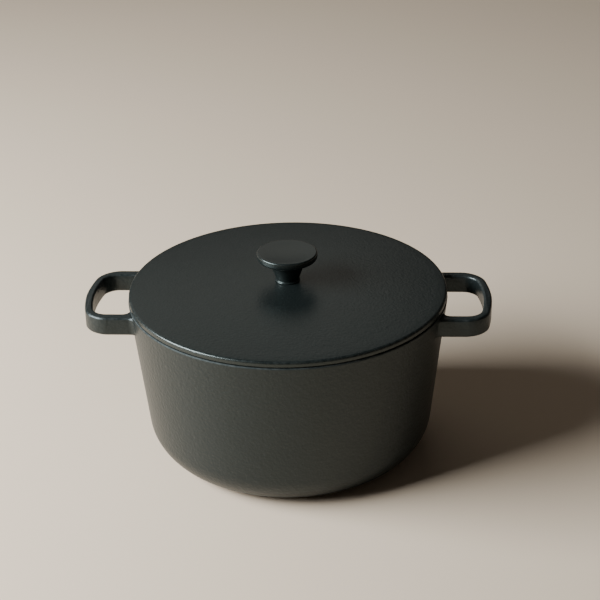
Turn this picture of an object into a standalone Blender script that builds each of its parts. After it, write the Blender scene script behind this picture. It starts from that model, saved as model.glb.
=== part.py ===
"""Round cast iron dutch oven with a low domed lid, a turned knob and two loop handles.

Metres, +Z up. The origin is the centre of the base on the table, and the handles lie along X.
"""
import math

import bmesh
import bpy

# Pot
POT_HEIGHT = 0.1419
RIM_RADIUS = 0.1346
WALL = 0.0043
WALL_TAPER = math.radians(6.1)
CORNER_RADIUS = 0.034
RIM_ROUND_OUTER = 0.0008
RIM_ROUND_INNER = 0.0009
FOOT_INNER_RADIUS = 0.070
FOOT_RECESS = 0.0008
FOOT_SLOPE = 0.0030

# Loop handles, cast in one with the pot
HANDLE_REACH = 0.1719
HANDLE_HALF_WIDTH = 0.0458
HANDLE_BOW = 0.1257
HANDLE_CORNER = 0.0210
HANDLE_INNER_CORNER = 0.0125
HANDLE_TOP = 0.1389
HANDLE_DEPTH = 0.0159
HANDLE_RUN_WIDTH = 0.0068
HANDLE_ARM_WIDTH = 0.0086
HANDLE_ROUND = 0.0015
HANDLE_FILLET_OUTER = 0.0070
HANDLE_FILLET_INNER = 0.0060
HANDLE_ROOT = 0.1306

# Lid
GAP = 0.0003
LID_RADIUS = 0.134
LID_EDGE = 0.0051
LID_THICK = 0.0044
LID_DOME = 0.0056
LID_ROUND_TOP = 0.0020
LID_ROUND_LOW = 0.0011
RING_RADIUS = 0.1279
RING_WIDTH = 0.0034
RING_DEPTH = 0.0050
BOSS_RADIUS = 0.0125
BOSS_THICK = 0.0070
RIB_RADII = (0.036, 0.062, 0.088)
RIB_HALF_WIDTH = 0.0022
RIB_HEIGHT = 0.0016
SCREW_HOLE = 0.0034

# Knob
CAP_RADIUS = 0.0254
CAP_TOP = 0.1790
CAP_THICK = 0.0068
CAP_ROUND_TOP = 0.0014
CAP_ROUND_LOW = 0.0030
CAP_DISH = 0.0012
STEM_TOP_RADIUS = 0.0140
STEM_LOW_RADIUS = 0.0094
STEM_FILLET = 0.0050
FOOT_RADIUS = 0.0107
FOOT_HEIGHT = 0.0013
KNOB_BORE = 0.0032
KNOB_BORE_DEPTH = 0.0145

# Gasket, washers and screw
GASKET_RADIUS = 0.0092
GASKET_THICK = 0.0008
FLAT_WASHER_RADIUS = 0.0080
FLAT_WASHER_THICK = 0.0012
LOCK_WASHER_RADIUS = 0.0054
LOCK_WASHER_THICK = 0.0015
LOCK_WASHER_SLIT = 0.0010
WASHER_HOLE = 0.0033
SHANK_RADIUS = 0.0028
SHANK_CHAMFER = 0.0006
HEAD_RADIUS = 0.0056
HEAD_HEIGHT = 0.0034
RECESS_DEPTH = 0.0020
RECESS_LENGTH = 0.0062
RECESS_WIDTH = 0.0011

# How finely the round shapes are divided
BIG_STEPS = 72
KNOB_STEPS = 40
SMALL_STEPS = 32
MERGE = 0.00005
SMOOTH_ANGLE = math.radians(35)

# Heights that follow from the driving sizes
LID_SEAT = POT_HEIGHT + GAP
LID_TOP = LID_SEAT + LID_EDGE + LID_DOME
KNOB_FOOT = LID_TOP + GAP
BOSS_BOTTOM = LID_TOP - BOSS_THICK


def clear_scene():
    for obj in list(bpy.data.objects):
        bpy.data.objects.remove(obj, do_unlink=True)


def new_collection(name):
    collection = bpy.data.collections.new(name)
    bpy.context.scene.collection.children.link(collection)
    return collection


def make_material(name, color, roughness, metallic):
    material = bpy.data.materials.new(name)
    material.use_nodes = True
    shader = material.node_tree.nodes["Principled BSDF"]
    shader.inputs["Base Color"].default_value = (*color, 1.0)
    shader.inputs["Roughness"].default_value = roughness
    shader.inputs["Metallic"].default_value = metallic
    return material


def add_object(name, mesh, collection):
    obj = bpy.data.objects.new(name, mesh)
    collection.objects.link(obj)
    return obj


def arc(centre_r, centre_z, radius, start, end, steps):
    """Points on an arc, from the start angle to the end angle, both in degrees."""
    points = []
    for i in range(steps + 1):
        angle = math.radians(start + (end - start) * i / steps)
        points.append((centre_r + radius * math.cos(angle), centre_z + radius * math.sin(angle)))
    return points


def turn(name, profile, steps, closed, collection):
    """Turn a profile of (radius, height) points round the Z axis."""
    work = bmesh.new()
    corners = [work.verts.new((radius, 0.0, height)) for radius, height in profile]
    for first, second in zip(corners, corners[1:]):
        work.edges.new((first, second))
    if closed:
        work.edges.new((corners[-1], corners[0]))
    mesh = bpy.data.meshes.new(name)
    work.to_mesh(mesh)
    work.free()
    obj = add_object(name, mesh, collection)
    screw = obj.modifiers.new("Turned", "SCREW")
    screw.steps = steps
    screw.render_steps = steps
    screw.use_merge_vertices = True
    screw.merge_threshold = MERGE
    return obj


def hide_helper(obj):
    obj.hide_render = True
    obj.display_type = "WIRE"


def boolean(obj, helper, operation):
    modifier = obj.modifiers.new(helper.name, "BOOLEAN")
    modifier.operation = operation
    modifier.object = helper


def finish(obj, material):
    """Apply the modifiers, shade the round faces smooth and give the piece its material."""
    graph = bpy.context.evaluated_depsgraph_get()
    mesh = bpy.data.meshes.new_from_object(obj.evaluated_get(graph))
    mesh.name = obj.name
    obj.modifiers.clear()
    obj.data = mesh
    mesh.shade_smooth()
    mesh.set_sharp_from_angle(angle=SMOOTH_ANGLE)
    mesh.materials.clear()
    mesh.materials.append(material)
    return obj


def wall_radius(height):
    return RIM_RADIUS - (POT_HEIGHT - height) * math.tan(WALL_TAPER)


def pot_profile():
    taper = math.degrees(WALL_TAPER)
    across_wall = WALL / math.cos(WALL_TAPER)
    corner_r = wall_radius(CORNER_RADIUS) - CORNER_RADIUS / math.cos(WALL_TAPER)
    inner_z = POT_HEIGHT - RIM_ROUND_INNER
    inner_r = wall_radius(inner_z) - across_wall + RIM_ROUND_INNER / math.cos(WALL_TAPER)
    outer_z = POT_HEIGHT - RIM_ROUND_OUTER
    outer_r = wall_radius(outer_z) - RIM_ROUND_OUTER / math.cos(WALL_TAPER)
    profile = [(0.0, WALL)]
    profile += arc(corner_r, CORNER_RADIUS, CORNER_RADIUS - WALL, -90, -taper, 7)
    profile += arc(inner_r, inner_z, RIM_ROUND_INNER, 180 - taper, 90, 2)
    profile += arc(outer_r, outer_z, RIM_ROUND_OUTER, 90, -taper, 3)
    profile += arc(corner_r, CORNER_RADIUS, CORNER_RADIUS, -taper, -90, 9)
    profile.append((FOOT_INNER_RADIUS, 0.0))
    profile.append((FOOT_INNER_RADIUS - FOOT_SLOPE, FOOT_RECESS))
    profile.append((0.0, FOOT_RECESS))
    return profile


def root_fillet(line_y, radius, side):
    """Arc that blends an arm's straight side into the round wall, from the arm to the wall.

    side is 1 where the space lies at larger Y than the line, and -1 where it lies at smaller Y.
    """
    wall = wall_radius(HANDLE_TOP - HANDLE_DEPTH)
    centre_y = line_y + side * radius
    centre_x = math.sqrt((wall + radius) ** 2 - centre_y ** 2)
    wall_angle = math.degrees(math.atan2(-centre_y, -centre_x))
    line_angle = -90.0 * side
    if side < 0:
        wall_angle += 360.0
    points = arc(centre_x, centre_y, radius, line_angle, wall_angle, 4)
    bearing = math.atan2(centre_y, centre_x)
    points.append((HANDLE_ROOT * math.cos(bearing), HANDLE_ROOT * math.sin(bearing)))
    return points


def bowed_corner(bow, half_width, corner):
    """Half of a loop's line: along the bowed outer run from Y = 0, then round the corner to the arm.

    The runs of the outer and the inner line are arcs about one centre on the X axis.
    """
    bow_x = HANDLE_REACH - HANDLE_BOW
    corner_y = half_width - corner
    corner_x = bow_x + math.sqrt((bow - corner) ** 2 - corner_y ** 2)
    join = math.degrees(math.atan2(corner_y, corner_x - bow_x))
    run = arc(bow_x, 0.0, bow, 0, join, 3)
    return run[:-1] + arc(corner_x, corner_y, corner, join, 90, 7)


def handle_outline():
    """Closed plan of one flat loop handle: the outer line out and back, then the inner one."""
    outer = bowed_corner(HANDLE_BOW, HANDLE_HALF_WIDTH, HANDLE_CORNER)
    outer += root_fillet(HANDLE_HALF_WIDTH, HANDLE_FILLET_OUTER, 1)
    inner_half = HANDLE_HALF_WIDTH - HANDLE_ARM_WIDTH
    inner = bowed_corner(HANDLE_BOW - HANDLE_RUN_WIDTH, inner_half, HANDLE_INNER_CORNER)
    inner += root_fillet(inner_half, HANDLE_FILLET_INNER, -1)
    loop = [(x, -y) for x, y in reversed(outer[1:])]
    loop += outer
    loop += reversed(inner)
    loop += [(x, -y) for x, y in inner[1:]]
    return loop


def is_free_border(edge):
    """True on the plate's upper and lower borders, outside the wall that the arms run into."""
    clear_of_wall = wall_radius(HANDLE_TOP) + HANDLE_ROUND / 2
    level = abs(edge.verts[0].co.z - edge.verts[1].co.z) < MERGE
    outside = min(vert.co.xy.length for vert in edge.verts) > clear_of_wall
    return level and outside and edge.calc_face_angle(0.0) > SMOOTH_ANGLE


def make_handle(name, bearing, collection):
    """One loop handle as a plate of the bar's depth with rounded edges, turned to its side."""
    curve = bpy.data.curves.new(name, "CURVE")
    curve.dimensions = "2D"
    curve.fill_mode = "BOTH"
    curve.extrude = HANDLE_DEPTH / 2
    outline = handle_outline()
    spline = curve.splines.new("POLY")
    spline.points.add(len(outline) - 1)
    for point, (x, y) in zip(spline.points, outline):
        point.co = (x, y, 0.0, 1.0)
    spline.use_cyclic_u = True
    plate = add_object(name + "_outline", curve, collection)
    graph = bpy.context.evaluated_depsgraph_get()
    mesh = bpy.data.meshes.new_from_object(plate.evaluated_get(graph))
    work = bmesh.new()
    work.from_mesh(mesh)
    bmesh.ops.remove_doubles(work, verts=work.verts, dist=MERGE)
    bmesh.ops.recalc_face_normals(work, faces=work.faces)
    borders = [edge for edge in work.edges if is_free_border(edge)]
    bmesh.ops.bevel(work, geom=borders, offset=HANDLE_ROUND, segments=2, profile=0.5, affect="EDGES")
    work.to_mesh(mesh)
    work.free()
    bpy.data.objects.remove(plate, do_unlink=True)
    handle = add_object(name, mesh, collection)
    handle.location = (0.0, 0.0, HANDLE_TOP - HANDLE_DEPTH / 2)
    handle.rotation_euler = (0.0, 0.0, bearing)
    hide_helper(handle)
    return handle


def make_pot(parts, helpers, material):
    pot = turn("pot", pot_profile(), BIG_STEPS, False, parts)
    for name, bearing in (("handle_right", 0.0), ("handle_left", math.pi)):
        boolean(pot, make_handle(name, bearing, helpers), "UNION")
    return finish(pot, material)


def dome_height(radius):
    """Height of the lid's outer face at a distance from the axis."""
    edge = LID_RADIUS - LID_ROUND_TOP
    return LID_SEAT + LID_EDGE + LID_DOME * (1 - (radius / edge) ** 2)


def underside(radius):
    return dome_height(radius) - LID_THICK


def lid_profile():
    profile = [(SCREW_HOLE, BOSS_BOTTOM), (SCREW_HOLE, dome_height(SCREW_HOLE))]
    edge = LID_RADIUS - LID_ROUND_TOP
    dome_steps = 5
    profile += [(edge * i / dome_steps, dome_height(edge * i / dome_steps)) for i in range(1, dome_steps)]
    profile += arc(edge, LID_SEAT + LID_EDGE - LID_ROUND_TOP, LID_ROUND_TOP, 90, 0, 3)
    low = LID_RADIUS - LID_ROUND_LOW
    profile += arc(low, LID_SEAT + LID_ROUND_LOW, LID_ROUND_LOW, 0, -90, 2)
    ring_inner = RING_RADIUS - RING_WIDTH
    ring_low = LID_SEAT - RING_DEPTH
    chamfer = LID_ROUND_LOW
    profile.append((RING_RADIUS, LID_SEAT))
    profile.append((RING_RADIUS, ring_low + chamfer))
    profile.append((RING_RADIUS - chamfer, ring_low))
    profile.append((ring_inner + chamfer, ring_low))
    profile.append((ring_inner, ring_low + chamfer))
    profile.append((ring_inner, underside(ring_inner) - chamfer))
    profile.append((ring_inner - chamfer, underside(ring_inner)))
    for radius in reversed(RIB_RADII):
        outside = radius + RIB_HALF_WIDTH
        inside = radius - RIB_HALF_WIDTH
        profile.append((outside, underside(outside)))
        profile.append((radius, underside(radius) - RIB_HEIGHT))
        profile.append((inside, underside(inside)))
    rise = underside(BOSS_RADIUS) - BOSS_BOTTOM
    profile.append((BOSS_RADIUS + rise, underside(BOSS_RADIUS + rise)))
    profile.append((BOSS_RADIUS, BOSS_BOTTOM))
    return profile


def make_lid(parts, material):
    return finish(turn("lid", lid_profile(), BIG_STEPS, True, parts), material)


def knob_profile():
    dish_radius = CAP_RADIUS - CAP_ROUND_TOP
    low_radius = CAP_RADIUS - CAP_ROUND_LOW
    dish_steps = 3
    profile = []
    for i in range(dish_steps):
        radius = dish_radius * i / dish_steps
        profile.append((radius, CAP_TOP - CAP_DISH * (1 - (radius / dish_radius) ** 2)))
    profile += arc(dish_radius, CAP_TOP - CAP_ROUND_TOP, CAP_ROUND_TOP, 90, 0, 3)
    profile += arc(low_radius, CAP_TOP - CAP_THICK + CAP_ROUND_LOW, CAP_ROUND_LOW, 0, -90, 3)
    neck = CAP_TOP - CAP_THICK - STEM_FILLET
    profile += arc(STEM_TOP_RADIUS + STEM_FILLET, neck, STEM_FILLET, 90, 180, 3)
    profile.append((STEM_LOW_RADIUS, KNOB_FOOT + FOOT_HEIGHT))
    profile.append((FOOT_RADIUS, KNOB_FOOT + FOOT_HEIGHT / 2))
    profile.append((FOOT_RADIUS, KNOB_FOOT))
    seat = GASKET_RADIUS + GAP
    profile.append((seat, KNOB_FOOT))
    profile.append((seat, KNOB_FOOT + GASKET_THICK + GAP))
    profile.append((KNOB_BORE, KNOB_FOOT + GASKET_THICK + GAP))
    profile.append((KNOB_BORE, KNOB_FOOT + KNOB_BORE_DEPTH))
    profile.append((0.0, KNOB_FOOT + KNOB_BORE_DEPTH + KNOB_BORE / 2))
    return profile


def make_knob(parts, material):
    return finish(turn("knob", knob_profile(), KNOB_STEPS, False, parts), material)


def flat_ring(name, inner, outer, bottom, thick, parts):
    """A washer: a ring of square section."""
    top = bottom + thick
    section = [(inner, top), (outer, top), (outer, bottom), (inner, bottom)]
    return turn(name, section, SMALL_STEPS, True, parts)


def add_box(name, size, place, bearing, collection):
    work = bmesh.new()
    bmesh.ops.create_cube(work, size=1.0)
    bmesh.ops.scale(work, vec=size, verts=work.verts)
    mesh = bpy.data.meshes.new(name)
    work.to_mesh(mesh)
    work.free()
    box = add_object(name, mesh, collection)
    box.location = place
    box.rotation_euler = (0.0, 0.0, bearing)
    hide_helper(box)
    return box


def make_knob_gasket(parts, material):
    gasket = flat_ring("knob_gasket", WASHER_HOLE, GASKET_RADIUS, KNOB_FOOT, GASKET_THICK, parts)
    return finish(gasket, material)


def make_flat_washer(parts, material):
    bottom = BOSS_BOTTOM - GAP - FLAT_WASHER_THICK
    washer = flat_ring("flat_washer", WASHER_HOLE, FLAT_WASHER_RADIUS, bottom, FLAT_WASHER_THICK, parts)
    return finish(washer, material)


def make_lock_washer(parts, helpers, material):
    bottom = BOSS_BOTTOM - 2 * GAP - FLAT_WASHER_THICK - LOCK_WASHER_THICK
    washer = flat_ring("lock_washer", WASHER_HOLE, LOCK_WASHER_RADIUS, bottom, LOCK_WASHER_THICK, parts)
    slit_size = (LOCK_WASHER_RADIUS, LOCK_WASHER_SLIT, 2 * LOCK_WASHER_THICK)
    slit_place = (LOCK_WASHER_RADIUS, 0.0, bottom + LOCK_WASHER_THICK / 2)
    slit = add_box("washer_slit", slit_size, slit_place, 0.0, helpers)
    slit.rotation_euler = (math.radians(20), 0.0, 0.0)
    boolean(washer, slit, "DIFFERENCE")
    return finish(washer, material)


def make_knob_screw(parts, helpers, material):
    head_top = BOSS_BOTTOM - 3 * GAP - FLAT_WASHER_THICK - LOCK_WASHER_THICK
    head_low = head_top - HEAD_HEIGHT
    tip = KNOB_FOOT + KNOB_BORE_DEPTH - 2 * GAP
    crown = HEAD_HEIGHT / 2
    profile = [
        (0.0, tip),
        (SHANK_RADIUS - SHANK_CHAMFER, tip),
        (SHANK_RADIUS, tip - SHANK_CHAMFER),
        (SHANK_RADIUS, head_top),
    ]
    profile.append((HEAD_RADIUS, head_top))
    profile += arc(HEAD_RADIUS - crown, head_low + crown, crown, 0, -90, 3)
    profile.append((0.0, head_low))
    screw = turn("knob_screw", profile, SMALL_STEPS, False, parts)
    slot_size = (RECESS_LENGTH, RECESS_WIDTH, 2 * RECESS_DEPTH)
    for i in range(2):
        slot = add_box(f"driver_slot_{i + 1}", slot_size, (0.0, 0.0, head_low), i * math.pi / 2, helpers)
        boolean(screw, slot, "DIFFERENCE")
    return finish(screw, material)


def main():
    clear_scene()
    parts = new_collection("cast_iron_dutch_oven")
    helpers = new_collection("joined_and_cut_shapes")
    enamel = make_material("black_enamel", (0.030, 0.033, 0.031), 0.42, 0.0)
    lid_enamel = make_material("black_enamel_lid", (0.027, 0.030, 0.028), 0.38, 0.0)
    knob_enamel = make_material("black_enamel_knob", (0.026, 0.029, 0.028), 0.32, 0.0)
    rubber = make_material("gasket_rubber", (0.018, 0.018, 0.018), 0.75, 0.0)
    washer_steel = make_material("washer_steel", (0.56, 0.57, 0.58), 0.35, 1.0)
    spring_steel = make_material("spring_steel", (0.42, 0.43, 0.44), 0.42, 1.0)
    screw_steel = make_material("screw_steel", (0.60, 0.60, 0.60), 0.30, 1.0)
    make_pot(parts, helpers, enamel)
    make_lid(parts, lid_enamel)
    make_knob(parts, knob_enamel)
    make_knob_gasket(parts, rubber)
    make_flat_washer(parts, washer_steel)
    make_lock_washer(parts, helpers, spring_steel)
    make_knob_screw(parts, helpers, screw_steel)


main()
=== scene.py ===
import math

import bmesh
import bpy
from mathutils import Matrix, Vector


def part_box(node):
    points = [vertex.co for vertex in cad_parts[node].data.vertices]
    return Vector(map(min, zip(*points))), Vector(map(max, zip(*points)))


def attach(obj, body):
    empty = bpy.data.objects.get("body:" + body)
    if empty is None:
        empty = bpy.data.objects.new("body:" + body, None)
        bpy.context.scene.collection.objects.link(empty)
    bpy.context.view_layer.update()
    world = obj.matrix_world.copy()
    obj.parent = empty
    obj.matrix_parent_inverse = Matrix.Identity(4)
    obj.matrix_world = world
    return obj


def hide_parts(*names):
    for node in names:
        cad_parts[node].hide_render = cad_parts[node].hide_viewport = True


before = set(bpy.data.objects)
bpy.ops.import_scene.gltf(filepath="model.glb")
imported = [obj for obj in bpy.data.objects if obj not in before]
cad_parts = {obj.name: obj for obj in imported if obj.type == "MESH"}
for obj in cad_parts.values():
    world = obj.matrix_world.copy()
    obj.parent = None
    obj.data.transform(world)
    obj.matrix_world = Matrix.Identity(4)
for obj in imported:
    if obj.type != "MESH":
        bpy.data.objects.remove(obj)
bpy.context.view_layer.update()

print("Frame loaded:", ", ".join(sorted(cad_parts)))

# sizes read from the frame
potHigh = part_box("pot")[1]
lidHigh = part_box("lid")[1]
knobLow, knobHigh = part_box("knob")
gasketLow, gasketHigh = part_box("knob_gasket")
flatLow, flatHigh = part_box("flat_washer")
lockLow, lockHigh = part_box("lock_washer")
screwLow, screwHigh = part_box("knob_screw")
seatGap = 0.0003  # clearance between neighbouring solids in the frame
lidSeat = potHigh.z + seatGap  # height at which the lid's edge sits
hardwareHole = 0.0033  # radius of the hole through the washers and the gasket
mergeWithin = 0.000002  # vertices closer than this are one


# small tools for meshes
def roundedWire(work, corners, closed=False):
    # a corner is (X, Z, rounding radius, rounding segments), and the last two may be left out
    points = [work.verts.new((corner[0], 0.0, corner[1])) for corner in corners]
    for first, second in zip(points, points[1:]):
        work.edges.new((first, second))
    if closed:
        work.edges.new((points[-1], points[0]))
    for i, corner in enumerate(corners):
        if len(corner) < 4:
            continue
        here = Vector(corner[:2])
        cameIn = here - Vector(corners[i - 1][:2])
        goesOut = Vector(corners[(i + 1) % len(corners)][:2]) - here
        reach = corner[2] * math.tan(cameIn.angle(goesOut) / 2)
        bmesh.ops.bevel(work, geom=[points[i]], offset=reach, offset_type="OFFSET", segments=corner[3],
                        profile=0.5, affect="VERTICES", material=-1)
    bmesh.ops.remove_doubles(work, verts=work.verts, dist=mergeWithin)


def turned(corners, steps, closed=False):
    work = bmesh.new()
    roundedWire(work, corners, closed)
    bmesh.ops.spin(work, geom=work.verts[:] + work.edges[:], cent=(0, 0, 0), axis=(0, 0, 1), dvec=(0, 0, 0),
                   angle=math.tau, steps=steps, use_merge=True, use_duplicate=False)
    bmesh.ops.remove_doubles(work, verts=work.verts, dist=mergeWithin)
    bmesh.ops.recalc_face_normals(work, faces=work.faces)
    return work


def asObject(name, work):
    mesh = bpy.data.meshes.new(name)
    work.to_mesh(mesh)
    work.free()
    piece = bpy.data.objects.new(name, mesh)
    bpy.context.scene.collection.objects.link(piece)
    return piece


def combine(piece, operation, helpers):
    # joins the helpers to the piece, or cuts them out of it, and removes them
    for helper in helpers:
        step = piece.modifiers.new(helper.name, "BOOLEAN")
        step.operation = operation
        step.object = helper
    graph = bpy.context.evaluated_depsgraph_get()
    mesh = bpy.data.meshes.new_from_object(piece.evaluated_get(graph))
    piece.modifiers.clear()
    piece.data = mesh
    for helper in helpers:
        bpy.data.objects.remove(helper, do_unlink=True)
    return piece


wearRange = dict(gentle=160.0, tight=650.0, shortest=0.000001, narrowest=0.0002)


def markEdgeWear(mesh):
    # wear runs from 0 up to the gentle curvature, in 1/m, to 1 past the tight one, on outside edges only
    work = bmesh.new()
    work.from_mesh(mesh)
    wear = []
    for vert in work.verts:
        bend = 0.0
        for edge in vert.link_edges:
            if len(edge.link_faces) == 2:
                area = sum(face.calc_area() for face in edge.link_faces) / 2
                across = max(area / max(edge.calc_length(), wearRange["shortest"]), wearRange["narrowest"])
                bend = max(bend, edge.calc_face_angle_signed(0.0) / across)
        share = (bend - wearRange["gentle"]) / (wearRange["tight"] - wearRange["gentle"])
        wear.append(min(max(share, 0.0), 1.0))
    work.free()
    layer = mesh.attributes.new("edgeWear", "FLOAT", "POINT")
    layer.data.foreach_set("value", wear)


def markLining(mesh, centre, reach):
    # 1 on the vessel's inner faces, which look towards its centre, and 0 elsewhere
    layer = mesh.attributes.new("lining", "FLOAT", "POINT")
    for vert, mark in zip(mesh.vertices, layer.data):
        inward = vert.normal.dot(vert.co - centre) < 0 and vert.co.xy.length < reach
        mark.value = 1.0 if inward else 0.0


def finishPiece(piece, name, material, body, node, sharpDegrees=38):
    piece.name = name
    mesh = piece.data
    mesh.name = name
    mesh.shade_smooth()
    mesh.set_sharp_from_angle(angle=math.radians(sharpDegrees))
    markEdgeWear(mesh)
    mesh.materials.clear()
    mesh.materials.append(material)
    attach(piece, body)
    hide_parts(node)
    print(name, "ready:", len(mesh.polygons), "faces")


# a socket that takes part in plain arithmetic
class Wire:
    def __init__(self, tree, socket=None):
        self.tree = tree
        self.socket = socket

    def node(self, kind, settings=None, values=None, output=0):
        # settings go first, because some sockets depend on them
        made = self.tree.nodes.new(kind)
        for key, value in (settings or {}).items():
            setattr(made, key, value)
        for key, value in (values or {}).items():
            if isinstance(value, Wire):
                self.tree.links.new(value.socket, made.inputs[key])
            else:
                made.inputs[key].default_value = value
        return Wire(self.tree, made.outputs[output])

    def maths(self, operation, first, second):
        return self.node("ShaderNodeMath", {"operation": operation}, {0: first, 1: second})

    def __add__(self, other):
        return self.maths("ADD", self, other)

    def __radd__(self, other):
        return self.maths("ADD", other, self)

    def __sub__(self, other):
        return self.maths("SUBTRACT", self, other)

    def __rsub__(self, other):
        return self.maths("SUBTRACT", other, self)

    def __mul__(self, other):
        return self.maths("MULTIPLY", self, other)

    def above(self, low, high):
        # 0 under low, 1 over high, with a soft step between
        settings = {"interpolation_type": "SMOOTHSTEP"}
        return self.node("ShaderNodeMapRange", settings, {0: self, 1: low, 2: high, 3: 0.0, 4: 1.0})

    def axis(self, which):
        return self.node("ShaderNodeSeparateXYZ", values={0: self}, output="XYZ".index(which))


def startMaterial(name):
    material = bpy.data.materials.new(name)
    material.use_nodes = True
    material.node_tree.nodes.clear()
    wire = Wire(material.node_tree)
    return material, wire, wire.node("ShaderNodeTexCoord", output="Object")


def setOutput(wire, shaderValues):
    shader = wire.node("ShaderNodeBsdfPrincipled", values=shaderValues)
    out = wire.tree.nodes.new("ShaderNodeOutputMaterial")
    wire.tree.links.new(shader.socket, out.inputs["Surface"])


def blendColors(wire, mask, first, second):
    # the Mix node's sockets share their names, so they go by number: 6 and 7 take the colours
    def asColor(tone):
        return tone if isinstance(tone, Wire) else (*tone, 1.0)

    values = {0: mask, 6: asColor(first), 7: asColor(second)}
    return wire.node("ShaderNodeMix", {"data_type": "RGBA"}, values, output=2)


def noise(wire, place, scale, detail, roughness=0.5):
    values = {"Vector": place, "Scale": scale, "Detail": detail, "Roughness": roughness}
    return wire.node("ShaderNodeTexNoise", values=values)


def bumped(wire, height):
    return wire.node("ShaderNodeBump", values={"Strength": 1.0, "Distance": 1.0, "Height": height})


# black satin enamel over cast iron; a step is where a mask starts and where it is full
enamelHabit = dict(speckStep=(0.60, 0.72), chipStep=(0.35, 0.65), pebbleSoftness=0.8,
                   scratchShare=0.25, scratchDetail=5.0, scratchGrain=0.7)


def castEnamel(name, look):
    material, wire, place = startMaterial(name)
    wear = wire.node("ShaderNodeAttribute", {"attribute_name": "edgeWear"}, output=2)
    cloud = noise(wire, place, look["cloudScale"], detail=3.0)
    grit = noise(wire, place, look["gritScale"], detail=2.0)
    speck = noise(wire, place, look["speckScale"], detail=1.0).above(*enamelHabit["speckStep"])
    pebble = wire.node("ShaderNodeTexVoronoi", {"feature": "SMOOTH_F1"},
                       {"Vector": place, "Scale": look["pebbleScale"],
                        "Smoothness": enamelHabit["pebbleSoftness"], "Randomness": 1.0})
    dimple = noise(wire, place, look["dimpleScale"], detail=2.0)
    tone = blendColors(wire, cloud, look["darkTone"], look["lightTone"])
    tone = blendColors(wire, speck * look["speckAmount"], tone, look["speckTone"])
    chips = noise(wire, place, look["chipScale"], detail=3.0).above(*enamelHabit["chipStep"])
    worn = wear * look["wearAmount"] * chips
    tone = blendColors(wire, worn, tone, look["wearTone"])
    rough = look["roughness"] + (cloud - 0.5) * look["roughSwing"] + (grit - 0.5) * look["gritSwing"]
    rough = rough - wear * look["wearPolish"]
    height = pebble * look["pebbleHeight"] + dimple * look["dimpleHeight"] + grit * look["gritHeight"]
    height = height * (1.0 - wear * look["edgeSmooth"])
    if "liningRoughness" in look:
        lining = wire.node("ShaderNodeAttribute", {"attribute_name": "lining"}, output=2)
        rough = rough + lining * (look["liningRoughness"] - rough) * look["liningAmount"]
        height = height * (1.0 - lining * look["liningSmooth"])
    if "matteAbove" in look:
        # the top of the rim carries only a thin matte coat
        matte = place.axis("Z").above(look["matteAbove"] - look["matteFade"], look["matteAbove"])
        rough = rough + matte * (look["matteRoughness"] - rough)
    if "bareBelow" in look:
        # under this height the casting is ground flat: bare, grey and scratched
        bare = 1.0 - place.axis("Z").above(look["bareBelow"], look["bareBelow"] + look["bareFade"])
        scratch = noise(wire, place, look["gritScale"] * enamelHabit["scratchShare"],
                        enamelHabit["scratchDetail"], enamelHabit["scratchGrain"])
        bareTone = blendColors(wire, scratch, look["bareDark"], look["bareLight"])
        tone = blendColors(wire, bare, tone, bareTone)
        rough = rough + bare * (look["bareRoughness"] - rough)
        height = height * (1.0 - bare) + bare * scratch * look["gritHeight"]
    setOutput(wire, {"Base Color": tone, "Roughness": rough, "Metallic": 0.0, "IOR": look["ior"],
                     "Specular Tint": (*look["glazeTint"], 1.0), "Normal": bumped(wire, height)})
    return material


potEnamel = castEnamel("potEnamel", dict(
    darkTone=(0.0070, 0.0100, 0.0102), lightTone=(0.0115, 0.0152, 0.0150), speckTone=(0.046, 0.056, 0.054),
    speckAmount=0.22, wearTone=(0.060, 0.066, 0.065), wearAmount=0.40, wearPolish=0.10,
    chipScale=260.0, edgeSmooth=0.75,
    roughness=0.40, roughSwing=0.08, gritSwing=0.10, ior=1.44, glazeTint=(0.86, 0.98, 1.0),
    cloudScale=16.0, gritScale=1500.0, speckScale=900.0, pebbleScale=380.0, dimpleScale=280.0,
    pebbleHeight=0.00018, dimpleHeight=0.00034, gritHeight=0.00002,
    bareBelow=0.0003, bareFade=0.0004, bareDark=(0.035, 0.034, 0.033), bareLight=(0.11, 0.108, 0.105),
    liningRoughness=0.58, liningAmount=0.8, liningSmooth=0.7, bareRoughness=0.55,
    matteAbove=potHigh.z - 0.0006, matteFade=0.0008, matteRoughness=0.66))

lidEnamel = castEnamel("lidEnamel", dict(
    darkTone=(0.0060, 0.0085, 0.0085), lightTone=(0.0095, 0.0125, 0.0122), speckTone=(0.040, 0.052, 0.050),
    speckAmount=0.22, wearTone=(0.055, 0.062, 0.061), wearAmount=0.30, wearPolish=0.10,
    chipScale=260.0, edgeSmooth=0.75,
    roughness=0.35, roughSwing=0.06, gritSwing=0.22, ior=1.52, glazeTint=(0.88, 1.0, 0.98),
    cloudScale=14.0, gritScale=1700.0, speckScale=950.0, pebbleScale=520.0, dimpleScale=380.0,
    pebbleHeight=0.00009, dimpleHeight=0.00018, gritHeight=0.00003))

knobEnamel = castEnamel("knobEnamel", dict(
    darkTone=(0.0060, 0.0085, 0.0085), lightTone=(0.0095, 0.0122, 0.0120), speckTone=(0.040, 0.050, 0.048),
    speckAmount=0.18, wearTone=(0.050, 0.056, 0.056), wearAmount=0.12, wearPolish=0.04,
    chipScale=300.0, edgeSmooth=0.80,
    roughness=0.30, roughSwing=0.05, gritSwing=0.08, ior=1.50, glazeTint=(0.84, 1.0, 0.98),
    cloudScale=30.0, gritScale=1900.0, speckScale=1000.0, pebbleScale=600.0, dimpleScale=420.0,
    pebbleHeight=0.00001, dimpleHeight=0.00002, gritHeight=0.00001))


# steel with the fine rings that turning leaves, and stains over them
steelHabit = dict(stainStep=(0.35, 0.70), grain=0.6, ringDetail=2.0, stainDetail=4.0)


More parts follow.
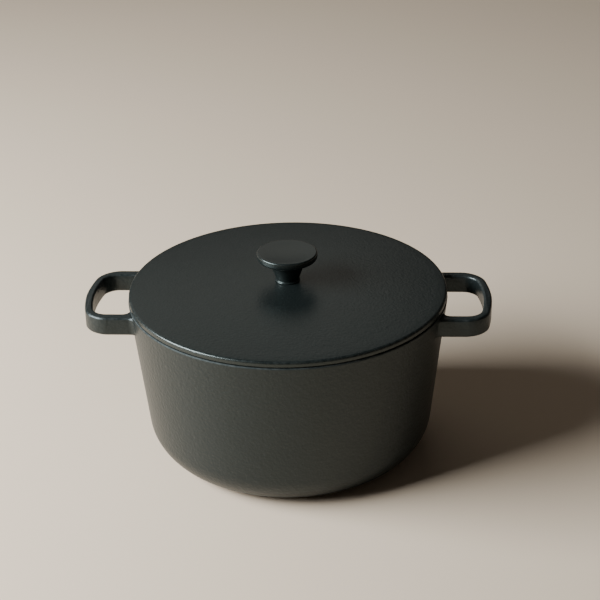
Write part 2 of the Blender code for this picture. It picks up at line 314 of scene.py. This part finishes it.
def turnedSteel(name, look):
    material, wire, place = startMaterial(name)
    wear = wire.node("ShaderNodeAttribute", {"attribute_name": "edgeWear"}, output=2)
    flat = wire.node("ShaderNodeVectorMath", {"operation": "MULTIPLY"}, {0: place, 1: (1.0, 1.0, 0.0)})
    radius = wire.node("ShaderNodeVectorMath", {"operation": "LENGTH"}, {0: flat}, output=1)
    across = wire.node("ShaderNodeCombineXYZ", values={0: radius, 1: place.axis("Z"), 2: 0.0})
    rings = noise(wire, across, look["ringScale"], steelHabit["ringDetail"], steelHabit["grain"])
    stain = noise(wire, place, look["stainScale"], steelHabit["stainDetail"], steelHabit["grain"])
    stained = stain.above(*steelHabit["stainStep"])
    tone = blendColors(wire, stained, look["cleanTone"], look["stainTone"])
    tone = blendColors(wire, wear * look["edgeAmount"], tone, look["edgeTone"])
    rough = look["roughness"] + (rings - 0.5) * look["ringSwing"] + (stain - 0.5) * look["stainSwing"]
    setOutput(wire, {"Base Color": tone, "Roughness": rough, "Metallic": 1.0,
                     "Normal": bumped(wire, rings * look["ringHeight"] + stain * look["ringHeight"])})
    return material


washerSteel = turnedSteel("washerSteel", dict(
    cleanTone=(0.56, 0.57, 0.57), stainTone=(0.36, 0.34, 0.31), edgeTone=(0.72, 0.72, 0.72),
    edgeAmount=0.5, ringSwing=0.16, stainSwing=0.14, roughness=0.36, ringScale=2600.0,
    stainScale=420.0, ringHeight=0.000012))
springSteel = turnedSteel("springSteel", dict(
    cleanTone=(0.36, 0.37, 0.38), stainTone=(0.20, 0.19, 0.18), edgeTone=(0.55, 0.55, 0.56),
    edgeAmount=0.4, ringSwing=0.12, stainSwing=0.18, roughness=0.44, ringScale=2200.0,
    stainScale=500.0, ringHeight=0.000014))
screwSteel = turnedSteel("screwSteel", dict(
    cleanTone=(0.60, 0.60, 0.59), stainTone=(0.42, 0.39, 0.35), edgeTone=(0.78, 0.78, 0.77),
    edgeAmount=0.5, ringSwing=0.16, stainSwing=0.12, roughness=0.30, ringScale=3000.0,
    stainScale=450.0, ringHeight=0.000010))


def mouldedRubber(name, look):
    material, wire, place = startMaterial(name)
    bloom = noise(wire, place, look["bloomScale"], detail=4.0)
    grain = noise(wire, place, look["grainScale"], detail=2.0)
    tone = blendColors(wire, bloom, look["darkTone"], look["lightTone"])
    rough = look["roughness"] + (grain - 0.5) * look["grainSwing"]
    setOutput(wire, {"Base Color": tone, "Roughness": rough, "Metallic": 0.0,
                     "Normal": bumped(wire, grain * look["grainHeight"])})
    return material


gasketRubber = mouldedRubber("gasketRubber", dict(
    darkTone=(0.014, 0.014, 0.014), lightTone=(0.030, 0.029, 0.028), roughness=0.72,
    grainSwing=0.15, bloomScale=300.0, grainScale=2400.0, grainHeight=0.00003))
print("Finishes mixed")

# pot: body and both handles, one casting
potShape = dict(
    wall=0.0043, taper=math.radians(6.1), corner=0.034, rimRoundOuter=0.0008, rimRoundInner=0.0009,
    footInner=0.070, footRecess=0.0008, footSlope=0.0030, footRound=0.0006, recessRound=0.0030,
    rows=(0.1400, 0.1220, 0.1150, 0.1000, 0.0850, 0.0700, 0.0550), liningCentre=0.6,
    steps=192, insideSteps=16, cornerSteps=20, rimSteps=5, footSteps=2,
)
# the widest point sits on the rim's outer rounding
rimLean = 1 / math.cos(potShape["taper"]) - 1 + math.tan(potShape["taper"])
rimRadius = potHigh.y + potShape["rimRoundOuter"] * rimLean


def wallRadius(height):
    return rimRadius - (potHigh.z - height) * math.tan(potShape["taper"])


def potBody(shape):
    wall = shape["wall"]
    across = wall / math.cos(shape["taper"])
    recessRadius = shape["footInner"] - shape["footSlope"]
    corners = [
        (0.0, wall),
        (wallRadius(wall) - across, wall, shape["corner"] - wall, shape["insideSteps"]),
        (rimRadius - across, potHigh.z, shape["rimRoundInner"], shape["rimSteps"]),
        (rimRadius, potHigh.z, shape["rimRoundOuter"], shape["rimSteps"]),
        # rows keep the handles' fillets from pulling on the shading of the whole wall
        *[(wallRadius(height), height) for height in shape["rows"]],
        (wallRadius(0.0), 0.0, shape["corner"], shape["cornerSteps"]),
        (shape["footInner"], 0.0, shape["footRound"], shape["footSteps"]),
        (recessRadius, shape["footRecess"], shape["recessRound"], shape["footSteps"]),
        (0.0, shape["footRecess"]),
    ]
    return asObject("potBody", turned(corners, shape["steps"]))


handleShape = dict(
    bow=0.1257, halfSpan=0.0458, corner=0.0210, innerCorner=0.0125, runWidth=0.0068, armWidth=0.0086,
    depth=0.0159, top=0.1389, edgeRound=0.0015, edgeSteps=4, filletOuter=0.0070, filletInner=0.0060,
    root=0.1308, rootReach=0.0085, sunk=0.0002, levelWithin=0.0001,
    bowSteps=6, cornerSteps=14, filletSteps=8,
)


def loopLine(bow, halfSpan, corner, fillet, side, shape):
    # corners of half a line of the loop, from the middle of the bowed run to the root inside the wall
    bowX = potHigh.x - shape["bow"]
    cornerY = halfSpan - corner
    join = math.atan2(cornerY, math.sqrt((bow - corner) ** 2 - cornerY ** 2))
    knee = bowX + (bow - halfSpan * math.sin(join)) / math.cos(join)
    wall = wallRadius(shape["top"] - shape["depth"]) - shape["sunk"]
    centreY = halfSpan + side * fillet
    bearing = math.asin(centreY / (wall + fillet))
    foot = (wall - halfSpan * math.sin(bearing)) / math.cos(bearing)
    along = Vector((math.cos(bearing), math.sin(bearing)))
    return [
        (bowX + bow, bow * math.tan(join / 2), bow, shape["bowSteps"]),
        (knee, halfSpan, corner, shape["cornerSteps"]),
        (foot, halfSpan, fillet, shape["filletSteps"]),
        tuple(along * wall),
        tuple(along * shape["root"]),
    ]


def handleLoop(shape):
    outer = loopLine(shape["bow"], shape["halfSpan"], shape["corner"], shape["filletOuter"], 1, shape)
    inner = loopLine(shape["bow"] - shape["runWidth"], shape["halfSpan"] - shape["armWidth"],
                     shape["innerCorner"], shape["filletInner"], -1, shape)

    def mirrored(line):
        return [(corner[0], -corner[1], *corner[2:]) for corner in line]

    work = bmesh.new()
    line = mirrored(outer[::-1]) + outer + inner[::-1] + mirrored(inner)
    roundedWire(work, line, closed=True)
    bmesh.ops.contextual_create(work, geom=work.edges[:])
    bottom = shape["top"] - shape["depth"]
    # the wire stands in X and Z, so it is laid down
    layDown = Matrix.Rotation(-math.pi / 2, 3, "X")
    bmesh.ops.rotate(work, cent=(0, 0, 0), matrix=layDown, verts=work.verts)
    bmesh.ops.translate(work, vec=(0, 0, bottom), verts=work.verts)
    made = bmesh.ops.extrude_face_region(work, geom=work.faces[:])["geom"]
    lifted = [item for item in made if isinstance(item, bmesh.types.BMVert)]
    bmesh.ops.translate(work, vec=(0, 0, shape["depth"]), verts=lifted)
    bmesh.ops.recalc_face_normals(work, faces=work.faces)
    # the roots follow the lean of the wall
    nearWall = wallRadius(bottom) + shape["rootReach"]
    armBearing = math.asin(shape["halfSpan"] / rimRadius)
    lean = shape["depth"] * math.tan(potShape["taper"]) / math.cos(armBearing)
    roots = [vert for vert in lifted if vert.co.xy.length < nearWall]
    bmesh.ops.translate(work, vec=(lean, 0, 0), verts=roots)
    borders = []
    for edge in work.edges:
        level = abs(edge.verts[0].co.z - edge.verts[1].co.z) < shape["levelWithin"]
        outside = max(vert.co.xy.length - wallRadius(vert.co.z) for vert in edge.verts) > 0
        if level and outside:
            borders.append(edge)
    bmesh.ops.bevel(work, geom=borders, offset=shape["edgeRound"], offset_type="OFFSET",
                    segments=shape["edgeSteps"], profile=0.5, affect="EDGES", material=-1)
    return work


def makePot():
    loops = []
    for name, bearing in (("rightLoop", 0.0), ("leftLoop", math.pi)):
        work = handleLoop(handleShape)
        turn = Matrix.Rotation(bearing, 3, "Z")
        bmesh.ops.rotate(work, cent=(0, 0, 0), matrix=turn, verts=work.verts)
        loops.append(asObject(name, work))
    pot = combine(potBody(potShape), "UNION", loops)
    centre = Vector((0.0, 0.0, potHigh.z * potShape["liningCentre"]))
    markLining(pot.data, centre, rimRadius - potShape["wall"] / 2)
    finishPiece(pot, "potCasting", potEnamel, "pot", "pot")


makePot()

# lid
lidShape = dict(
    edge=0.0051, thick=0.0044, roundTop=0.0020, roundLow=0.0011, topSteps=8, lowSteps=5,
    ringRadius=0.1279, ringWidth=0.0034, ringDepth=0.0050, ringRound=0.0009, ringSteps=4,
    ringSeatRound=0.0008, ringSeatSteps=3, ringRootRound=0.0018,
    ribRadii=(0.036, 0.062, 0.088), ribHalf=0.0022, ribHeight=0.0016,
    ribFootRound=0.0020, ribFootSteps=3, ribRound=0.0012, ribSteps=4,
    bossRadius=0.0125, bossThick=0.0070, bossFootRound=0.0015, bossRound=0.0010, bossSteps=3,
    screwHole=0.0034, holeRound=0.0003, holeSteps=2, steps=192, domeSteps=16,
)


def makeLid(shape):
    radius = lidHigh.x
    dome = lidHigh.z - lidSeat - shape["edge"]
    crownEdge = radius - shape["roundTop"]

    def top(r):
        return lidSeat + shape["edge"] + dome * (1 - (r / crownEdge) ** 2)

    def under(r):
        return top(r) - shape["thick"]

    hole = shape["screwHole"]
    bossLow = top(0) - shape["bossThick"]
    corners = [
        (hole, bossLow, shape["holeRound"], shape["holeSteps"]),
        (hole, top(hole), shape["holeRound"], shape["holeSteps"]),
    ]
    for i in range(1, shape["domeSteps"]):
        out = crownEdge * i / shape["domeSteps"]
        corners.append((out, top(out)))
    corners.append((radius, lidSeat + shape["edge"], shape["roundTop"], shape["topSteps"]))
    corners.append((radius, lidSeat, shape["roundLow"], shape["lowSteps"]))
    ring = shape["ringRadius"]
    ringIn = ring - shape["ringWidth"]
    ringLow = lidSeat - shape["ringDepth"]
    corners.append((ring, lidSeat, shape["ringSeatRound"], shape["ringSeatSteps"]))
    corners.append((ring, ringLow, shape["ringRound"], shape["ringSteps"]))
    corners.append((ringIn, ringLow, shape["ringRound"], shape["ringSteps"]))
    corners.append((ringIn, under(ringIn), shape["ringRootRound"], shape["ringSteps"]))
    ribFoot = (shape["ribFootRound"], shape["ribFootSteps"])
    for ribRadius in reversed(shape["ribRadii"]):
        outside = ribRadius + shape["ribHalf"]
        inside = ribRadius - shape["ribHalf"]
        ribLow = under(ribRadius) - shape["ribHeight"]
        corners.append((outside, under(outside), *ribFoot))
        corners.append((ribRadius, ribLow, shape["ribRound"], shape["ribSteps"]))
        corners.append((inside, under(inside), *ribFoot))
    bossSlope = shape["bossRadius"] + under(shape["bossRadius"]) - bossLow
    corners.append((bossSlope, under(bossSlope), shape["bossFootRound"], shape["bossSteps"]))
    corners.append((shape["bossRadius"], bossLow, shape["bossRound"], shape["bossSteps"]))
    lid = asObject("lidBlank", turned(corners, shape["steps"], closed=True))
    finishPiece(lid, "lidCasting", lidEnamel, "lid", "lid")


makeLid(lidShape)

# knob
knobShape = dict(
    capThick=0.0068, capRoundTop=0.0014, capRoundLow=0.0030, dish=0.0012,
    stemTop=0.0160, stemLow=0.0094, stemFillet=0.0060, stemFoot=0.0010, stemFootSteps=4,
    footRadius=0.0107, footHeight=0.0013, footRound=0.0006, footSteps=4, footEdge=0.0002, footEdgeSteps=2,
    seatRadius=0.0095, seatDepth=0.0011, bore=0.0032, boreDepth=0.0145,
    steps=96, dishSteps=8, capSteps=8, capLowSteps=10, filletSteps=8,
)


def makeKnob(shape):
    radius = knobHigh.x
    capTop = knobHigh.z
    capLow = capTop - shape["capThick"]
    foot = knobLow.z
    dishRadius = radius - shape["capRoundTop"]
    corners = []
    for i in range(shape["dishSteps"]):
        out = dishRadius * i / shape["dishSteps"]
        corners.append((out, capTop - shape["dish"] * (1 - (out / dishRadius) ** 2)))
    corners += [
        (radius, capTop, shape["capRoundTop"], shape["capSteps"]),
        (radius, capLow, shape["capRoundLow"], shape["capLowSteps"]),
        (shape["stemTop"], capLow, shape["stemFillet"], shape["filletSteps"]),
        (shape["stemLow"], foot + shape["footHeight"], shape["stemFoot"], shape["stemFootSteps"]),
        (shape["footRadius"], foot + shape["footHeight"] / 2, shape["footRound"], shape["footSteps"]),
        (shape["footRadius"], foot, shape["footEdge"], shape["footEdgeSteps"]),
        (shape["seatRadius"], foot),
        (shape["seatRadius"], foot + shape["seatDepth"]),
        (shape["bore"], foot + shape["seatDepth"]),
        (shape["bore"], foot + shape["boreDepth"]),
        (0.0, foot + shape["boreDepth"] + shape["bore"] / 2),
    ]
    knob = asObject("knobBlank", turned(corners, shape["steps"]))
    finishPiece(knob, "knobTurned", knobEnamel, "lid", "knob")


makeKnob(knobShape)

# gasket and washers, with a small rounding on each edge
ringShape = dict(edge=0.0002, edgeSteps=2, steps=72, slit=math.radians(12), slitRise=0.0004)


def ringSection(radius, low, top):
    edge = (ringShape["edge"], ringShape["edgeSteps"])
    places = ((hardwareHole, top), (radius, top), (radius, low), (hardwareHole, low))
    return [(*place, *edge) for place in places]


def makeRing(name, low, high, material, node):
    section = ringSection(high.y, low.z, high.z)
    blank = asObject(name, turned(section, ringShape["steps"], closed=True))
    finishPiece(blank, name, material, "lid", node)


def makeSplitRing(low, high):
    # a spring washer: not quite a full turn of square wire, with one end a little higher than the other
    work = bmesh.new()
    roundedWire(work, ringSection(high.y, low.z, high.z - ringShape["slitRise"]), closed=True)
    start = Matrix.Rotation(ringShape["slit"] / 2, 3, "Z")
    bmesh.ops.rotate(work, cent=(0, 0, 0), matrix=start, verts=work.verts)
    rise = ringShape["slitRise"] / ringShape["steps"]
    bmesh.ops.spin(work, geom=work.verts[:] + work.edges[:], cent=(0, 0, 0), axis=(0, 0, 1),
                   dvec=(0, 0, rise), angle=math.tau - ringShape["slit"], steps=ringShape["steps"],
                   use_merge=False, use_duplicate=False)
    bmesh.ops.holes_fill(work, edges=[edge for edge in work.edges if edge.is_boundary], sides=0)
    bmesh.ops.recalc_face_normals(work, faces=work.faces)
    blank = asObject("springRing", work)
    finishPiece(blank, "lockWasher", springSteel, "lid", "lock_washer")


makeRing("knobGasket", gasketLow, gasketHigh, gasketRubber, "knob_gasket")
makeRing("flatWasher", flatLow, flatHigh, washerSteel, "flat_washer")
makeSplitRing(lockLow, lockHigh)

# screw: pan head with a cross recess, and a real thread
screwShape = dict(
    shank=0.0028, root=0.0024, pitch=0.0010, crestStart=0.42, crestEnd=0.58, turnSteps=32,
    tipTaper=0.0008, tipSlope=0.6, mergeWithin=0.00001, spareTurns=2, sunk=0.0005,
    headHeight=0.0034, headRound=0.0003, headRoundSteps=3, crownSteps=8, headSteps=64,
    recessLength=0.0062, recessWidth=0.0011, recessDepth=0.0020, recessPoint=0.45,
)


def threadedShank(shape, bottom, top):
    work = bmesh.new()
    pitch = shape["pitch"]
    # the thread runs past both ends and is cut off there
    start = bottom - shape["spareTurns"] * pitch
    turns = math.ceil((top - bottom) / pitch) + 2 * shape["spareTurns"]
    corners = [
        (shape["root"], start),
        (shape["shank"], start + pitch * shape["crestStart"]),
        (shape["shank"], start + pitch * shape["crestEnd"]),
        (shape["root"], start + pitch),
    ]
    roundedWire(work, corners)
    bmesh.ops.spin(work, geom=work.verts[:] + work.edges[:], cent=(0, 0, 0), axis=(0, 0, 1),
                   dvec=(0, 0, pitch / shape["turnSteps"]), angle=math.tau * turns,
                   steps=turns * shape["turnSteps"], use_merge=False, use_duplicate=False)
    bmesh.ops.remove_doubles(work, verts=work.verts, dist=shape["mergeWithin"])
    for height, side in ((bottom, 1), (top, -1)):
        cut = work.verts[:] + work.edges[:] + work.faces[:]
        bmesh.ops.bisect_plane(work, geom=cut, plane_co=(0, 0, height), plane_no=(0, 0, -side),
                               clear_outer=True)
    bmesh.ops.holes_fill(work, edges=[edge for edge in work.edges if edge.is_boundary], sides=0)
    for vert in work.verts:
        past = vert.co.z - (top - shape["tipTaper"])
        limit = shape["shank"] - past * shape["tipSlope"]
        # the end is turned down to a little under the thread's root
        if past > 0 and vert.co.xy.length > limit:
            vert.co.xy *= limit / vert.co.xy.length
    bmesh.ops.recalc_face_normals(work, faces=work.faces)
    return asObject("shank", work)


def recessBlade(shape, bearing, low):
    work = bmesh.new()
    bmesh.ops.create_cube(work, size=1.0)
    bmesh.ops.scale(work, vec=(shape["recessLength"], shape["recessWidth"], 2 * shape["recessDepth"]),
                    verts=work.verts)
    deep = [vert for vert in work.verts if vert.co.z > 0]
    bmesh.ops.scale(work, vec=(shape["recessPoint"], shape["recessPoint"], 1.0), verts=deep)
    turn = Matrix.Rotation(bearing, 3, "Z")
    bmesh.ops.rotate(work, cent=(0, 0, 0), matrix=turn, verts=work.verts)
    bmesh.ops.translate(work, vec=(0, 0, low), verts=work.verts)
    return asObject(f"blade{round(math.degrees(bearing))}", work)


def makeScrew(shape):
    low = screwLow.z
    headTop = low + shape["headHeight"]
    corners = [
        (0.0, headTop),
        (screwHigh.y, headTop, shape["headRound"], shape["headRoundSteps"]),
        (screwHigh.y, low, shape["headHeight"] / 2, shape["crownSteps"]),
        (0.0, low),
    ]
    head = asObject("head", turned(corners, shape["headSteps"]))
    combine(head, "UNION", [threadedShank(shape, headTop - shape["sunk"], screwHigh.z)])
    combine(head, "DIFFERENCE", [recessBlade(shape, bearing, low) for bearing in (0.0, math.pi / 2)])
    finishPiece(head, "knobScrew", screwSteel, "lid_screw", "knob_screw", sharpDegrees=30)


makeScrew(screwShape)

# stage, lights and camera
stagePlan = dict(size=12.0, paleTone=(0.80, 0.65, 0.50), darkTone=(0.78, 0.63, 0.48), roughness=0.75,
                 cloudScale=3.0, cloudDetail=4.0, worldColor=(0.042, 0.038, 0.034))


def makeStage(plan):
    material, wire, place = startMaterial("floorPale")
    cloud = noise(wire, place, plan["cloudScale"], plan["cloudDetail"])
    tone = blendColors(wire, cloud, plan["darkTone"], plan["paleTone"])
    setOutput(wire, {"Base Color": tone, "Roughness": plan["roughness"]})
    work = bmesh.new()
    bmesh.ops.create_grid(work, x_segments=1, y_segments=1, size=plan["size"] / 2)
    floor = asObject("floor", work)
    floor.data.materials.append(material)
    world = bpy.data.worlds.new("studio")
    world.use_nodes = True
    background = world.node_tree.nodes["Background"]
    background.inputs["Color"].default_value = (*plan["worldColor"], 1.0)
    bpy.context.scene.world = world


def areaLight(name, plan):
    light = bpy.data.lights.new(name, "AREA")
    light.shape = "RECTANGLE"
    light.size = plan["wide"]
    light.size_y = plan["high"]
    light.energy = plan["watts"]
    light.color = plan["color"]
    lamp = bpy.data.objects.new(name, light)
    bpy.context.scene.collection.objects.link(lamp)
    heading = math.radians(plan["heading"])
    height = math.radians(plan["elevation"])
    level = math.cos(height)
    away = Vector((level * math.cos(heading), level * math.sin(heading), math.sin(height)))
    lamp.location = Vector(plan["aim"]) + away * plan["distance"]
    lamp.rotation_euler = away.to_track_quat("Z", "Y").to_euler()


makeStage(stagePlan)
# headings are counted from +X towards +Y
areaLight("keyLight", dict(wide=1.35, high=0.78, watts=99.0, color=(0.93, 0.98, 1.0),
                           aim=(0, 0, 0.08), heading=196.0, elevation=31.0, distance=1.8))
areaLight("backCard", dict(wide=2.6, high=1.2, watts=5.0, color=(1.0, 0.94, 0.84),
                           aim=(0, 0, 0.15), heading=112.0, elevation=34.0, distance=2.6))

# aim is given from the middle of the lid's seat, and the heading is counted from -Y towards +X
cameraPlan = dict(aim=(0.01024, -0.00296, -0.00698), distance=1.2693, heading=3.052, elevation=26.674,
                  roll=-1.080, lens=90.0, sensorWidth=36.0)


def makeCamera(plan):
    lens = bpy.data.cameras.new("camera")
    lens.lens = plan["lens"]
    lens.sensor_width = plan["sensorWidth"]
    camera = bpy.data.objects.new("camera", lens)
    bpy.context.scene.collection.objects.link(camera)
    facing = (Matrix.Rotation(math.radians(plan["heading"]), 4, "Z")
              @ Matrix.Rotation(math.radians(90 - plan["elevation"]), 4, "X"))
    aim = Vector(plan["aim"]) + Vector((0.0, 0.0, lidSeat))
    place = aim + facing @ Vector((0.0, 0.0, plan["distance"]))
    roll = Matrix.Rotation(math.radians(plan["roll"]), 4, "Z")
    camera.matrix_world = Matrix.Translation(place) @ facing @ roll
    bpy.context.scene.camera = camera


makeCamera(cameraPlan)
print("Stage, lights and camera set")
